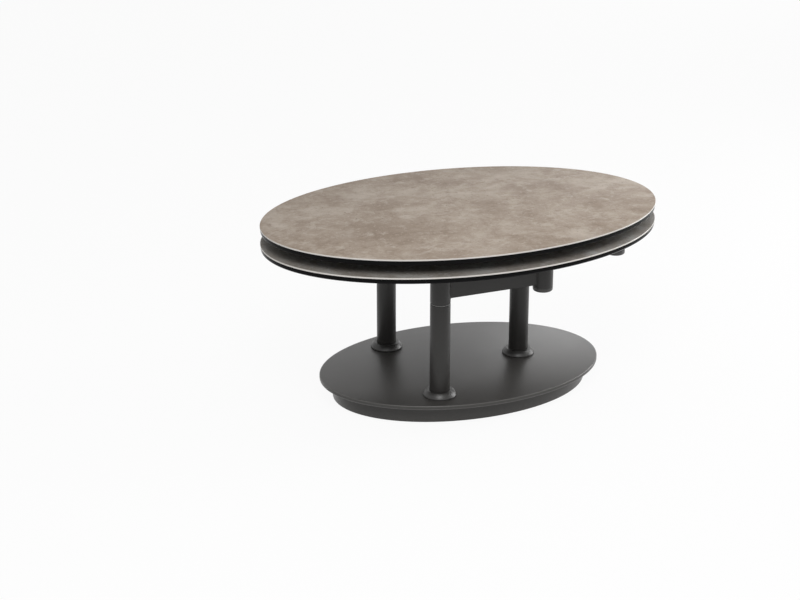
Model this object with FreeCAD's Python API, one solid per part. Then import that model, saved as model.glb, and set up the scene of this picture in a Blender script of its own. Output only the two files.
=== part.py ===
"""Extending coffee table: two oval stone-faced tops over a three-post pedestal.

Millimetres, +Z up, +X along the tops. The origin is on the floor under the centre of the upper top.
Each post carries a C-shaped crank: a lower arm swings about the post, a riser passes up through the
lower top, and a link above it leads back to a pivot over the post, under the upper top. The three
cranks stay parallel, so the lower top swings out without turning while the upper top stays put.
"""
import FreeCAD, Part
import math
import os

Vector = FreeCAD.Vector
UP = Vector(0, 0, 1)

# Fits that many pieces share
running_clearance = 0.05
fixed_clearance = 0.05
face_gap = 0.2
overrun = 5.0

# The two tops, each a ceramic face on black glass
top_length = 1000.0
top_width = 666.0
table_height = 455.0
tops_gap = 27.9
ceramic_thickness = 4.0
ceramic_arris = 0.8
glass_thickness = 11.5
glass_inset = 0.8
glass_bevel = 3.0
glass_hole_clearance = 1.0

# Base plate, the plinth under it and the glides
base_end_inset = 140.0
base_side_inset = 80.0
base_height = 58.0
base_thickness = 10.0
base_arris = 1.2
plinth_inset = 32.0
band_thickness = 2.5
glide_height = 3.0
glide_diameter = 32.0
glide_edge = 1.0
glide_margin = 26.0
glide_count = 8
core_screw_diameter = 6.0
core_screw_head_diameter = 12.0
core_screw_head_height = 6.0
core_screw_recess = 9.0
core_screw_grip = 7.0
core_screw_margin = 48.0
core_screw_count = 6

# Posts at three corners of a triangle, with their collars, foot plugs and anchor bolts
post_place_shares = {"front": (-0.358, -0.65), "right": (0.447, 0), "back": (-0.358, 0.65)}
post_diameter = 48.3
post_wall = 3.0
collar_diameter = 80.0
collar_top_diameter = 62.0
collar_height = 14.0
collar_edge_height = 2.5
collar_foot_bevel = 1.5
collar_swell_share = 0.56
foot_plug_height = 30.0
anchor_diameter = 12.0
anchor_grip = 24.0
anchor_hole_clearance = 0.5
anchor_head_diameter = 18.0
anchor_head_height = 8.0
anchor_washer_diameter = 36.0
anchor_washer_thickness = 3.0
anchor_pocket_diameter = 44.0

# Pivot at the head of each post
spindle_diameter = 30.0
spindle_spigot_length = 50.0
thrust_washer_thickness = 1.5
thrust_washer_inset = 0.8
hub_height = 62.0
hub_bush_wall = 3.0
hub_bush_length = 20.0
stop_plate_thickness = 4.0
stop_plate_inset = 2.0
stop_sector_margin = 4.0
stop_clearance = 0.3
stop_stud_diameter = 6.0
stop_stud_offset = 5.0
spindle_screw_diameter = 10.0
spindle_screw_head_diameter = 20.0
spindle_screw_head_height = 5.0
spindle_screw_length = 25.0
hub_headroom = 1.2

# Swing arm, outer hub and riser
swing_clearance = 12.6
arm_width = 40.0
arm_height = 43.0
arm_wall = 3.0
arm_corner = 3.0
arm_lift = 13.8
hub_drop = 21.2
hub_cap_height = 11.0
hub_cap_rounding = 5.0
hub_line_depth = 0.7
hub_line_height = 0.7
riser_diameter = 25.0

# Bearing flanges that carry the lower top
flange_diameter = 110.0
flange_thickness = 8.0
flange_edge = 2.0
boss_diameter = 46.0
boss_length = 24.0
neck_diameter = 40.0
flange_bush_wall = 3.0
flange_bush_length = 20.0
bush_lip_diameter = 42.0
bush_lip_thickness = 2.0
clamp_ring_diameter = 70.0
clamp_ring_thickness = 2.5
clamp_ring_edge = 1.0

# Links in the gap and the pivots under the upper top
link_lift = 1.9
link_thickness = 8.5
link_width = 44.0
link_waist = 34.0
link_edge = 1.0
link_spigot_diameter = 18.0
link_screw_diameter = 10.0
link_screw_head_diameter = 26.0
link_screw_head_height = 4.0
link_screw_length = 30.0
pivot_pin_diameter = 20.0
pivot_shoulder_diameter = 30.0
pivot_shoulder_thickness = 1.5
pivot_end_length = 1.0
clip_thickness = 1.5
clip_groove_depth = 0.7
clip_diameter = 27.0
socket_diameter = 100.0
socket_plate_thickness = 6.0
socket_edge = 1.5
socket_boss_diameter = 36.0
socket_bush_wall = 3.0
socket_bush_length = 8.5
socket_pocket_diameter = 30.0

# Heights worked out from the sizes above
upper_underside = table_height - ceramic_thickness - glass_thickness
lower_face = upper_underside - tops_gap
lower_underside = lower_face - ceramic_thickness - glass_thickness
plate_underside = base_height - base_thickness
boss_bottom = lower_underside - flange_thickness - boss_length
stop_plate_top = boss_bottom - hub_headroom - spindle_screw_head_height
spindle_top = stop_plate_top - stop_plate_thickness
hub_top = spindle_top - face_gap
hub_bottom = hub_top - hub_height
seam_height = hub_bottom - face_gap - thrust_washer_thickness
arm_bottom = hub_bottom + arm_lift
arm_top = arm_bottom + arm_height
outer_bottom = arm_bottom - hub_drop
outer_top = boss_bottom - bush_lip_thickness - face_gap
clamp_top = lower_face + clamp_ring_thickness
link_bottom = clamp_top + link_lift
link_top = link_bottom + link_thickness
socket_bottom = link_top + pivot_shoulder_thickness + face_gap
socket_bush_top = socket_bottom + socket_bush_length
clip_bottom = socket_bush_top + face_gap
pin_top = clip_bottom + clip_thickness + pivot_end_length

# Radii that mating pieces share
post_radius = post_diameter / 2
post_bore = post_radius - post_wall
spindle_radius = spindle_diameter / 2
hub_bush_radius = spindle_radius + running_clearance + hub_bush_wall
riser_radius = riser_diameter / 2
flange_bush_radius = riser_radius + running_clearance + flange_bush_wall
neck_radius = neck_diameter / 2
pivot_radius = pivot_pin_diameter / 2
socket_bush_radius = pivot_radius + running_clearance + socket_bush_wall
stud_radius = stop_stud_diameter / 2
stud_place = post_radius + stop_stud_offset

# Places of the posts on the base, and the longest arm that swings past a neighbouring post
base_length = top_length - 2 * base_end_inset
base_width = top_width - 2 * base_side_inset
posts = {
    name: Vector(base_length / 2 * along, base_width / 2 * across, 0)
    for name, (along, across) in post_place_shares.items()
}
closest_posts = min(a.distanceToPoint(b) for a in posts.values() for b in posts.values() if a is not b)
arm_length = closest_posts - post_diameter - swing_clearance
arm_reach = Vector(arm_length, 0, 0)


def disc(radius, low, high, centre=Vector()):
    """A round solid between two heights."""
    return Part.makeCylinder(radius, high - low, centre + Vector(0, 0, low))


def tube(outer, inner, low, high, centre=Vector()):
    """A round solid with a bore right through it."""
    return disc(outer, low, high, centre).cut(disc(inner, low - overrun, high + overrun, centre))


def oval(length, width, low, high):
    """An elliptical solid between two heights."""
    edge = Part.Ellipse(Vector(0, 0, low), length / 2, width / 2).toShape()
    return Part.Face(Part.Wire([edge])).extrude(Vector(0, 0, high - low))


def rims(solid, height):
    """The edges of a solid that lie wholly at one height."""
    return [e for e in solid.Edges if e.BoundBox.ZLength < face_gap and abs(e.BoundBox.ZMin - height) < face_gap]


def turned(profile):
    """A solid of revolution about Z from edges or points in the XZ plane."""
    wire = Part.makePolygon(profile + profile[:1]) if isinstance(profile[0], Vector) else Part.Wire(profile)
    return Part.Face(wire).revolve(Vector(), UP, 360)


def point(radius, height):
    """A profile point at a radius and a height."""
    return Vector(radius, 0, height)


def oval_places(length, width, margin, count, turn_share=0):
    """Places spread round an oval, a margin inside its rim."""
    angles = [2 * math.pi * (i + turn_share) / count for i in range(count)]
    return [Vector((length / 2 - margin) * math.cos(a), (width / 2 - margin) * math.sin(a), 0) for a in angles]


def at_each(shape, places):
    """One copy of a shape at each place."""
    return [shape.translated(place) for place in places]


def save(name, solids):
    """Write one named piece, or a group of like pieces, as a STEP file."""
    shape = solids[0] if len(solids) == 1 else Part.makeCompound(solids)
    shape.exportStep(os.path.join("parts", name + ".step"))


def cap_screw(shank, head, head_low, head_high, end):
    """A screw with a round head; its shank runs from the head to the end height."""
    return disc(head / 2, head_low, head_high).fuse(disc(shank / 2, min(head_low, end), max(head_high, end)))


# Tops

def ceramic(low, holes):
    """A ceramic face with a fine arris round its upper and lower rims."""
    high = low + ceramic_thickness
    plate = oval(top_length, top_width, low, high)
    plate = plate.makeChamfer(ceramic_arris, rims(plate, high) + rims(plate, low))
    return drilled(plate, holes, low, high)


def glass(low, holes):
    """Black glass under the ceramic, bevelled inwards along its lower rim."""
    high = low + glass_thickness
    plate = oval(top_length - 2 * glass_inset, top_width - 2 * glass_inset, low, high)
    plate = plate.makeChamfer(glass_bevel, rims(plate, low))
    return drilled(plate, holes, low, high)


def drilled(plate, holes, low, high):
    """A plate with a clearance hole for each bearing neck."""
    for place in holes:
        plate = plate.cut(disc(neck_radius + glass_hole_clearance, low - overrun, high + overrun, place))
    return plate


def make_tops():
    """Upper and lower tops."""
    necks = [post + arm_reach for post in posts.values()]
    save("upper_ceramic", [ceramic(upper_underside + glass_thickness, [])])
    save("upper_glass", [glass(upper_underside, [])])
    save("lower_ceramic", [ceramic(lower_underside + glass_thickness, necks)])
    save("lower_glass", [glass(lower_underside, necks)])


# Base

def make_base():
    """Base plate, plinth band and core, screws and glides."""
    band_length = base_length - 2 * plinth_inset
    band_width = base_width - 2 * plinth_inset
    core_length = band_length - 2 * band_thickness
    core_width = band_width - 2 * band_thickness
    screw_places = oval_places(band_length, band_width, core_screw_margin, core_screw_count, 0.5)
    screw_radius = core_screw_diameter / 2

    plate = oval(base_length, base_width, plate_underside, base_height)
    plate = plate.makeChamfer(base_arris, rims(plate, base_height) + rims(plate, plate_underside))
    for post in posts.values():
        hole_radius = anchor_diameter / 2 + anchor_hole_clearance
        plate = plate.cut(disc(hole_radius, plate_underside - overrun, base_height + overrun, post))
    for place in screw_places:
        tapped = disc(screw_radius + fixed_clearance, plate_underside - overrun,
                      plate_underside + core_screw_grip, place)
        plate = plate.cut(tapped)
    save("base_plate", [plate])

    band = oval(band_length, band_width, glide_height, plate_underside)
    inside = oval(core_length, core_width, glide_height - overrun, plate_underside + overrun)
    save("plinth_band", [band.cut(inside)])

    core = oval(core_length, core_width, glide_height, plate_underside)
    for post in posts.values():
        core = core.cut(disc(anchor_pocket_diameter / 2, glide_height - overrun, plate_underside + overrun, post))
    head_low = glide_height + core_screw_recess
    head_high = head_low + core_screw_head_height
    for place in screw_places:
        core = core.cut(disc(screw_radius + fixed_clearance, glide_height - overrun,
                             plate_underside + overrun, place))
        core = core.cut(disc(core_screw_head_diameter / 2 + fixed_clearance, glide_height - overrun,
                             head_high, place))
    save("plinth_core", [core])

    screw = cap_screw(core_screw_diameter, core_screw_head_diameter, head_low, head_high,
                      plate_underside + core_screw_grip)
    save("core_screws", at_each(screw, screw_places))

    glide = disc(glide_diameter / 2, 0, glide_height)
    glide = glide.makeChamfer(glide_edge, rims(glide, 0))
    save("floor_glides", at_each(glide, oval_places(core_length, core_width, glide_margin, glide_count)))


# Posts

def collar():
    """A low rosette round a post's foot: flat top, gently swelling slope and a small foot bevel."""
    outer = collar_diameter / 2
    top = collar_top_diameter / 2
    bore = post_radius + fixed_clearance
    edge_z = base_height + collar_edge_height
    top_z = base_height + collar_height
    middle = point(top + (outer - top) * collar_swell_share, edge_z + (top_z - edge_z) * collar_swell_share)
    foot = base_height + collar_foot_bevel
    lines = [point(top, top_z), point(bore, top_z), point(bore, base_height),
             point(outer - collar_foot_bevel, base_height), point(outer, foot), point(outer, edge_z)]
    edges = [Part.LineSegment(a, b).toShape() for a, b in zip(lines, lines[1:])]
    edges.append(Part.Arc(point(outer, edge_z), middle, point(top, top_z)).toShape())
    return turned(edges)


def make_posts():
    """Post tubes, collars, foot plugs and the bolts that hold them down."""
    for name, post in posts.items():
        save("post_" + name, [tube(post_radius, post_bore, base_height, seam_height, post)])
    save("post_collars", at_each(collar(), posts.values()))

    bolt_radius = anchor_diameter / 2
    grip_top = base_height + anchor_grip
    plug = disc(post_bore - fixed_clearance, base_height, base_height + foot_plug_height)
    plug = plug.cut(disc(bolt_radius + fixed_clearance, base_height - overrun, grip_top))
    save("foot_plugs", at_each(plug, posts.values()))

    washer_low = plate_underside - anchor_washer_thickness
    washer = tube(anchor_washer_diameter / 2, bolt_radius + anchor_hole_clearance, washer_low, plate_underside)
    save("anchor_washers", at_each(washer, posts.values()))
    bolt = cap_screw(anchor_diameter, anchor_head_diameter, washer_low - anchor_head_height, washer_low, grip_top)
    save("anchor_bolts", at_each(bolt, posts.values()))


# Pivots at the post heads

def stop_plate():
    """A keeper disc with a wide sector that meets the stop stud at both ends of the swing."""
    reach = stud_place + stop_sector_margin
    half_stud = math.asin((stud_radius + stop_clearance) / stud_place)
    sweep = math.degrees(math.pi - 2 * half_stud)
    keeper = disc(post_radius - stop_plate_inset, spindle_top, stop_plate_top)
    sector = Part.makeCylinder(reach, stop_plate_thickness, Vector(0, 0, spindle_top), UP, sweep)
    sector.rotate(Vector(), UP, math.degrees(math.pi + half_stud))
    hole = disc(spindle_screw_diameter / 2 + fixed_clearance, spindle_top - overrun, stop_plate_top + overrun)
    return keeper.fuse(sector).cut(hole).removeSplitter()


def make_pivots():
    """Spindles fixed in the post heads, their thrust washers, stop plates and screws."""
    screw_end = spindle_top - spindle_screw_length
    spindle = disc(post_bore - fixed_clearance, seam_height - spindle_spigot_length, seam_height)
    spindle = spindle.fuse(disc(spindle_radius, seam_height - spindle_spigot_length, spindle_top))
    spindle = spindle.cut(disc(spindle_screw_diameter / 2 + fixed_clearance, screw_end, spindle_top + overrun))
    save("pivot_spindles", at_each(spindle, posts.values()))

    washer = tube(post_radius - thrust_washer_inset, spindle_radius + fixed_clearance,
                  seam_height, seam_height + thrust_washer_thickness)
    save("thrust_washers", at_each(washer, posts.values()))
    save("stop_plates", at_each(stop_plate(), posts.values()))
    screw = cap_screw(spindle_screw_diameter, spindle_screw_head_diameter, stop_plate_top,
                      stop_plate_top + spindle_screw_head_height, screw_end)
    save("spindle_screws", at_each(screw, posts.values()))


# Cranks, modelled with the post axis at the origin

def hub_sleeve():
    """The turning sleeve above the seam, bored for its two bushes."""
    return tube(post_radius, hub_bush_radius + fixed_clearance, hub_bottom, hub_top)


def hub_bushes():
    """A bush at each end of the hub sleeve."""
    inner = spindle_radius + running_clearance
    return [tube(hub_bush_radius, inner, low, low + hub_bush_length)
            for low in (hub_bottom, hub_top - hub_bush_length)]


def swing_arm():
    """A rectangular tube coped to the hub sleeve and the outer hub, drilled for the stop stud."""
    def bar(width, height, corner):
        low = arm_bottom + (arm_height - height) / 2
        solid = Part.makeBox(arm_length, width, height, Vector(0, -width / 2, low))
        return solid.makeFillet(corner, [e for e in solid.Edges if e.BoundBox.XLength > arm_length / 2])
    inner_corner = arm_corner / 2
    arm = bar(arm_width, arm_height, arm_corner)
    arm = arm.cut(bar(arm_width - 2 * arm_wall, arm_height - 2 * arm_wall, inner_corner))
    for centre in (Vector(), arm_reach):
        arm = arm.cut(disc(post_radius + fixed_clearance, arm_bottom - overrun, arm_top + overrun, centre))
    stud_hole = disc(stud_radius + fixed_clearance, arm_top - arm_wall - overrun, arm_top + overrun,
                     Vector(stud_place, 0, 0))
    return arm.cut(stud_hole)


def stop_stud():
    """A stud in the arm's upper wall that meets the stop plate."""
    return disc(stud_radius, arm_top - arm_wall, stop_plate_top, Vector(stud_place, 0, 0))


def outer_hub():
    """The hub at the arm's far end, bored for the riser."""
    return tube(post_radius, riser_radius + fixed_clearance, outer_bottom + hub_cap_height, outer_top, arm_reach)


def hub_cap():
    """The rounded cap under the outer hub, with a fine line where it meets the hub."""
    cap_top = outer_bottom + hub_cap_height
    cap = disc(post_radius, outer_bottom, cap_top - hub_line_height)
    cap = cap.makeFillet(hub_cap_rounding, rims(cap, outer_bottom))
    return cap.fuse(disc(post_radius - hub_line_depth, cap_top - hub_line_height, cap_top)).translated(arm_reach)


def riser_shaft():
    """The shaft from the outer hub up through the lower top, with a spigot for the link."""
    shaft = disc(riser_radius, outer_bottom + hub_cap_height, link_bottom)
    shaft = shaft.fuse(disc(link_spigot_diameter / 2, link_bottom, link_top))
    hole = disc(link_screw_diameter / 2 + fixed_clearance, link_top - link_screw_length, link_top + overrun)
    return shaft.cut(hole).translated(arm_reach)


def top_link():
    """A flat link, waisted between its two round ends."""
    end = link_width / 2
    half_waist = link_waist / 2
    lean = math.asin((end - half_waist) / (arm_length / 2))
    link = disc(end, link_bottom, link_top).fuse(disc(end, link_bottom, link_top, arm_reach))
    corner_x = end * math.sin(lean)
    corner_y = end * math.cos(lean)
    outline = [Vector(corner_x, corner_y, link_bottom), Vector(arm_length / 2, half_waist, link_bottom),
               Vector(arm_length - corner_x, corner_y, link_bottom)]
    outline += [Vector(p.x, -p.y, p.z) for p in reversed(outline)]
    web = Part.Face(Part.makePolygon(outline + outline[:1])).extrude(Vector(0, 0, link_thickness))
    link = link.fuse(web).removeSplitter()
    link = link.makeChamfer(link_edge, rims(link, link_top) + rims(link, link_bottom))
    for radius, centre in ((pivot_radius, Vector()), (link_spigot_diameter / 2, arm_reach)):
        link = link.cut(disc(radius + fixed_clearance, link_bottom - overrun, link_top + overrun, centre))
    return link


def link_screw():
    """The screw that holds the link down on the riser."""
    screw = cap_screw(link_screw_diameter, link_screw_head_diameter, link_top,
                      link_top + link_screw_head_height, link_top - link_screw_length)
    return screw.translated(arm_reach)


def pivot_pin():
    """The shouldered pin in the link's near end, grooved for its retaining clip."""
    groove = pivot_radius - clip_groove_depth
    clip_top = clip_bottom + clip_thickness
    shoulder = pivot_shoulder_diameter / 2
    shoulder_top = link_top + pivot_shoulder_thickness
    return turned([point(0, link_bottom), point(pivot_radius, link_bottom), point(pivot_radius, link_top),
                   point(shoulder, link_top), point(shoulder, shoulder_top), point(pivot_radius, shoulder_top),
                   point(pivot_radius, clip_bottom), point(groove, clip_bottom), point(groove, clip_top),
                   point(pivot_radius, clip_top), point(pivot_radius, pin_top), point(0, pin_top)])


def retaining_clip():
    """The ring in the pin's groove that keeps the upper top from lifting off."""
    inner = pivot_radius - clip_groove_depth + fixed_clearance
    return tube(clip_diameter / 2, inner, clip_bottom, clip_bottom + clip_thickness)


def make_cranks():
    """The three cranks, each piece in a node of its own."""
    pieces = {
        "hub_sleeve": [hub_sleeve()],
        "hub_bushes": hub_bushes(),
        "swing_arm": [swing_arm()],
        "stop_stud": [stop_stud()],
        "outer_hub": [outer_hub()],
        "hub_cap": [hub_cap()],
        "riser_shaft": [riser_shaft()],
        "top_link": [top_link()],
        "link_screw": [link_screw()],
        "pivot_pin": [pivot_pin()],
        "retaining_clip": [retaining_clip()],
    }
    for name, post in posts.items():
        for piece, solids in pieces.items():
            save(piece + "_" + name, [solid.translated(post) for solid in solids])


# Bearings of the lower top and sockets of the upper top

def bearing_flange():
    """A flange under the glass with a boss below and a neck up through the top."""
    bore = flange_bush_radius + fixed_clearance
    plate_low = lower_underside - flange_thickness
    plate = disc(flange_diameter / 2, plate_low, lower_underside)
    plate = plate.makeChamfer(flange_edge, rims(plate, plate_low))
    body = plate.fuse(disc(boss_diameter / 2, boss_bottom, lower_underside))
    body = body.fuse(disc(neck_radius, plate_low, clamp_top))
    return body.cut(disc(bore, boss_bottom - overrun, clamp_top + overrun)).removeSplitter()


def flange_bushes():
    """A lipped bush in the boss and a plain one in the neck."""
    inner = riser_radius + running_clearance
    lipped = tube(flange_bush_radius, inner, boss_bottom - bush_lip_thickness, boss_bottom + flange_bush_length)
    lip = tube(bush_lip_diameter / 2, inner, boss_bottom - bush_lip_thickness, boss_bottom)
    plain = tube(flange_bush_radius, inner, clamp_top - flange_bush_length, clamp_top)
    return [lipped.fuse(lip).removeSplitter(), plain]


def clamp_ring():
    """The ring screwed on the neck above the lower top."""
    ring = disc(clamp_ring_diameter / 2, lower_face, clamp_top)
    ring = ring.makeChamfer(clamp_ring_edge, rims(ring, clamp_top))
    return ring.cut(disc(neck_radius + fixed_clearance, lower_face - overrun, clamp_top + overrun))


def upper_socket():
    """A disc bonded under the upper glass, with a boss for the pivot bush and a pocket for the clip."""
    plate_low = upper_underside - socket_plate_thickness
    plate = disc(socket_diameter / 2, plate_low, upper_underside)
    plate = plate.makeChamfer(socket_edge, rims(plate, plate_low))
    body = plate.fuse(disc(socket_boss_diameter / 2, socket_bottom, upper_underside))
    body = body.cut(disc(socket_bush_radius + fixed_clearance, socket_bottom - overrun, socket_bush_top))
    return body.cut(disc(socket_pocket_diameter / 2, socket_bush_top, upper_underside + overrun))


def make_bearings():
    """Flanges, bushes and clamp rings of the lower top; sockets and bushes of the upper top."""
    outer = [post + arm_reach for post in posts.values()]
    save("bearing_flanges", at_each(bearing_flange(), outer))
    save("flange_bushes", [copy for bush in flange_bushes() for copy in at_each(bush, outer)])
    save("clamp_rings", at_each(clamp_ring(), outer))
    save("upper_sockets", at_each(upper_socket(), posts.values()))
    bush = tube(socket_bush_radius, pivot_radius + running_clearance, socket_bottom, socket_bush_top)
    save("socket_bushes", at_each(bush, posts.values()))


os.makedirs("parts", exist_ok=True)
make_tops()
make_base()
make_posts()
make_pivots()
make_cranks()
make_bearings()
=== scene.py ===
"""An extending coffee table: oval stone-faced tops on black glass, on powder-coated posts and cranks.

Every length is in metres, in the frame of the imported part: +X along the tops, +Z up, origin on the floor.
"""
import math

import bpy
from mathutils import Matrix, Vector


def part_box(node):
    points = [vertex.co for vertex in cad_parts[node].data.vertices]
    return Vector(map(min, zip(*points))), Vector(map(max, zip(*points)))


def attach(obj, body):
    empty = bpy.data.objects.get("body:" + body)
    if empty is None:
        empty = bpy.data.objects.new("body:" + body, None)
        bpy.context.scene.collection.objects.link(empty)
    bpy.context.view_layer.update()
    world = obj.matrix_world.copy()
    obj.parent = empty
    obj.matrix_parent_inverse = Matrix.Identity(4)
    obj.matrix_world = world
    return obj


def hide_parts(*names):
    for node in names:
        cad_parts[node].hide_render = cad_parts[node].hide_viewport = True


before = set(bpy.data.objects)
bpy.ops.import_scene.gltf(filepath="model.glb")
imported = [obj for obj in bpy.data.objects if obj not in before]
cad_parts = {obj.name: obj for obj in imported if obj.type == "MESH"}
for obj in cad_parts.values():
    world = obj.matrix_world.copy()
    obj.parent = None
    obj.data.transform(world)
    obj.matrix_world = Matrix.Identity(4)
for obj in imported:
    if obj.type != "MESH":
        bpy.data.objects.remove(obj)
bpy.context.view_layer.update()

bl_info = {
    "name": "Extending coffee table",
    "version": (1, 0, 0),
    "blender": (4, 5, 0),
    "location": "View3D > Sidebar > Table",
    "description": "Models and finishes the pieces of an oval extending coffee table",
    "category": "Object",
}

CRANKS = ("front", "right", "back")
OVAL_STEPS = 320
ROUND_STEPS = 96
SMALL_STEPS = 48
HEX_STEPS = 6
SMOOTH_ANGLE = math.radians(32)
CUT_OVERRUN = 0.005
MERGE_REACH = 1e-6
FLOOR_SIZE = 60
FLOOR_GAP = 0.0002

# Walls round a riser, from the riser out to the bush's and the bearing neck's outside
BUSH_WALL = 0.00305
NECK_WALL = 0.0075

# Small roundings and chamfers
FLANGE_CHAMFER = 0.002
FLANGE_FILLET = 0.004
RING_ROUNDING = 0.0012
COLLAR_FOOT = 0.0012
COLLAR_BORE_EDGE = 0.0006
LINK_EDGE = 0.001
BOLT_EDGE = 0.0006

# Radii of a glide's foot and shoulder as shares of its own, and how far up they lie
GLIDE_FOOT = 0.86
GLIDE_SHOULDER = 0.95
GLIDE_SHOULDER_RISE = 0.0006
GLIDE_SIDE_RISE = 0.0014
GLIDE_REACH = 0.03

# Bores of a link, as shares of the clip's and the screw head's radius
LINK_PIN_SHARE = 0.74
LINK_SCREW_SHARE = 0.69

# Button heads: upright side as a share of the height; shank, flat top and socket as shares of the radius
LINK_SCREW_SHAPE = (0.35, 0.38, 0.62, 0.62)
SPINDLE_SCREW_SHAPE = (0.4, 0.5, 0.6, 0.66)
SOCKET_DEPTH = 0.6
BOLT_SHANK = 0.66

# Softboxes: name, place, size and the setting that holds the power
LAMP_AIM = Vector((0, 0, 0.3))
LAMPS = (
    ("back_softbox", (4.28, 4.73, 1.4), 3.0, "back_power"),
    ("side_softbox", (2.75, 0.0, 0.5), 1.6, "side_power"),
    ("right_softbox", (2.4, -0.4, 2.0), 0.8, "right_power"),
    ("top_softbox", (-0.5, -0.2, 3.4), 3.0, "top_power"),
    ("front_softbox", (-0.97, -2.15, 2.55), 1.4, "front_power"),
)


# Settings that a user would change

class TopSettings(bpy.types.PropertyGroup):
    """Sizes and colours of the stone faces and the black glass."""
    arris: bpy.props.FloatProperty(
        name="Arris", description="Rounding along the rims of a stone face",
        default=0.0009, unit="LENGTH")
    glass_bevel: bpy.props.FloatProperty(
        name="Glass bevel", description="Bevel along the lower rim of the glass",
        default=0.003, unit="LENGTH")
    hole_room: bpy.props.FloatProperty(
        name="Hole room", description="Room round a bearing neck in the lower top",
        default=0.001, unit="LENGTH")
    stone_middle: bpy.props.FloatVectorProperty(
        name="Stone", description="Main colour of the stone face",
        default=(0.372, 0.308, 0.251), subtype="COLOR")
    stone_dark: bpy.props.FloatVectorProperty(
        name="Dark clouds", description="Darker, browner clouds",
        default=(0.266, 0.208, 0.162), subtype="COLOR")
    stone_light: bpy.props.FloatVectorProperty(
        name="Light clouds", description="Paler, greyer clouds",
        default=(0.49, 0.428, 0.368), subtype="COLOR")
    # Painted shade: the lower stone is a greyer, darker copy of the upper one, standing in for the shadow
    # the upper top casts on it.
    lower_shade_tone: bpy.props.FloatVectorProperty(
        name="Lower tone", description="Greyer tone of the lower stone, as shares of the upper one's",
        default=(0.69, 0.775, 0.86), subtype="COLOR")
    stone_pore: bpy.props.FloatVectorProperty(
        name="Pores", description="Dark of the finest pores",
        default=(0.15, 0.115, 0.09), subtype="COLOR")
    edge_colour: bpy.props.FloatVectorProperty(
        name="Cut edge", description="Pale body of the ceramic at its rim",
        default=(0.66, 0.635, 0.6), subtype="COLOR")
    glass_colour: bpy.props.FloatVectorProperty(
        name="Glass", description="Black of the back-painted glass",
        default=(0.002, 0.002, 0.0022), subtype="COLOR")


class SteelSettings(bpy.types.PropertyGroup):
    """Sizes and colours of the steelwork."""
    coat_colour: bpy.props.FloatVectorProperty(
        name="Powder coat", description="Main colour of the coating",
        default=(0.028, 0.0266, 0.025), subtype="COLOR")
    coat_dark: bpy.props.FloatVectorProperty(
        name="Coat shade", description="Darker flecks of the coating",
        default=(0.02, 0.019, 0.0178), subtype="COLOR")
    base_colour: bpy.props.FloatVectorProperty(
        name="Base coat", description="Colour of the coating on the base",
        default=(0.062, 0.059, 0.0555), subtype="COLOR")
    # Painted highlight: a paler copy of the base coat for the plate's rounded edges, standing in for the
    # light lines they catch.
    arris_highlight_colour: bpy.props.FloatVectorProperty(
        name="Rubbed edge", description="Paler coating along the base plate's edges",
        default=(0.11, 0.106, 0.1),
        subtype="COLOR")
    # Painted sheen: the caps get a paler coat, standing in for the light their rounded lower edges catch.
    cap_sheen_colour: bpy.props.FloatVectorProperty(
        name="Cap coat", description="Paler coat of the hub caps",
        default=(0.062, 0.06, 0.057), subtype="COLOR")
    tube_wall: bpy.props.FloatProperty(
        name="Tube wall", description="Wall of the post tubes", default=0.003, unit="LENGTH")
    fine_edge: bpy.props.FloatProperty(
        name="Fine edge", description="Rounding of turned edges", default=0.0007, unit="LENGTH")
    seam_edge: bpy.props.FloatProperty(
        name="Seam edge", description="Rounding of the tube ends at a post's seam",
        default=0.0018, unit="LENGTH")
    plate_edge: bpy.props.FloatProperty(
        name="Plate edge", description="Rounding along the base plate", default=0.0022, unit="LENGTH")
    band_wall: bpy.props.FloatProperty(
        name="Band wall", description="Thickness of the plinth band", default=0.0025, unit="LENGTH")
    arm_width: bpy.props.FloatProperty(
        name="Arm width", description="Width of an arm across its length", default=0.02, unit="LENGTH")
    arm_drop: bpy.props.FloatProperty(
        name="Arm drop", description="How far an arm's lower edge lies below the solid's",
        default=0.0038,
        unit="LENGTH")
    arm_corner: bpy.props.FloatProperty(
        name="Arm corner", description="Corner radius of the arm tube", default=0.003, unit="LENGTH")
    bead_radius: bpy.props.FloatProperty(
        name="Weld bead", description="Radius of the weld round an arm's ends",
        default=0.0013, unit="LENGTH")
    collar_top: bpy.props.FloatProperty(
        name="Collar top", description="Radius of a collar's flat top", default=0.031, unit="LENGTH")
    collar_edge: bpy.props.FloatProperty(
        name="Collar edge", description="Height of a collar's upright side",
        default=0.0025, unit="LENGTH")
    collar_swell: bpy.props.FloatProperty(
        name="Collar swell", description="How far a collar's slope stands out",
        default=0.0009, unit="LENGTH")
    cap_rounding: bpy.props.FloatProperty(
        name="Cap rounding", description="Rounding under an outer hub", default=0.005, unit="LENGTH")
    cap_line: bpy.props.FloatProperty(
        name="Cap line", description="Groove between a hub and its cap", default=0.0007, unit="LENGTH")
    boss_radius: bpy.props.FloatProperty(
        name="Boss", description="Radius of a bearing flange's boss", default=0.023, unit="LENGTH")
    flange_plate: bpy.props.FloatProperty(
        name="Flange plate", description="Thickness of a bearing flange", default=0.008, unit="LENGTH")
    socket_plate: bpy.props.FloatProperty(
        name="Socket plate", description="Thickness of an upper socket's disc",
        default=0.006, unit="LENGTH")
    socket_boss: bpy.props.FloatProperty(
        name="Socket boss", description="Radius of an upper socket's boss", default=0.018, unit="LENGTH")
    link_waist: bpy.props.FloatProperty(
        name="Link waist", description="Width of a link at its middle", default=0.034, unit="LENGTH")


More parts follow.
